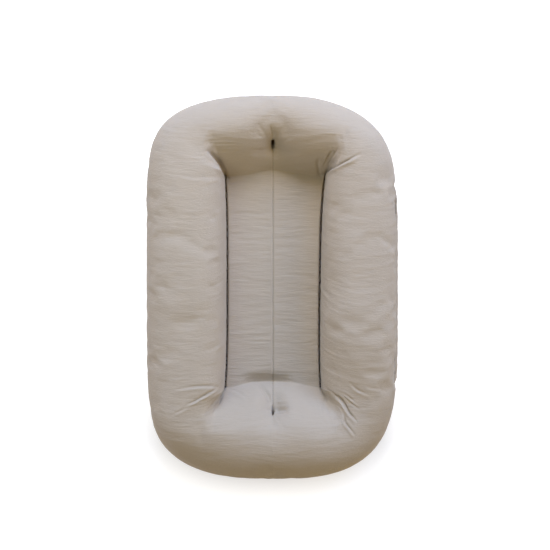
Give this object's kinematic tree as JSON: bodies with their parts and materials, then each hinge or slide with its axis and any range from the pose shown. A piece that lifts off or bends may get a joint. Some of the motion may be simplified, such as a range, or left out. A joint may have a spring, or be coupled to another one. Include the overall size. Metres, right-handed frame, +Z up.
{
  "type": "infant lounger",
  "caption": "Padded ring lounger for an infant: a stuffed oval bolster sewn round an unpadded sling, with pinched ends and a zip-off cloth cover.",
  "frame": {"origin": "on the floor, at the middle of the lounger's outline", "axes": "+Y from the foot to the head along the longest side, +Z up, +X to the side with the zip"},
  "size_m": [0.43, 0.66, 0.125],
  "materials": {
    "cover_cloth": "matte crinkled cotton",
    "insert_cloth": "matte",
    "fibre": "matte",
    "thread": "matte",
    "zip_tape": "matte",
    "zip_teeth": "matte",
    "zip_metal": "satin"
  },
  "bodies": {
    "lounger": {"fibre_fill": "fibre", "insert_top": "insert_cloth", "insert_base": "insert_cloth", "cover_top": "cover_cloth", "cover_base": "cover_cloth", "side_seam_left": "thread", "side_seam_right": "thread", "centre_seam": "thread", "head_tack": "thread", "foot_tack": "thread", "zip_tape_upper": "zip_tape", "zip_tape_lower": "zip_tape", "zip_teeth_upper": "zip_teeth", "zip_teeth_lower": "zip_teeth", "zip_stop_upper": "zip_metal", "zip_stop_lower": "zip_metal", "zip_end_box": "zip_metal"},
    "slider": {"zip_slider": "zip_metal"},
    "pull": {"zip_pull": "zip_metal"}
  },
  "joints": [
    {"name": "zip_slide", "type": "slide", "parent": "lounger", "child": "slider", "axis": [0, -1, 0], "range_m": [0, 0.289]},
    {"name": "pull_swing", "type": "hinge", "parent": "slider", "child": "pull", "pos_m": [0.213, 0.1507, 0.06], "axis": [0, 0, 1], "range_deg": [0, 180]}
  ]
}
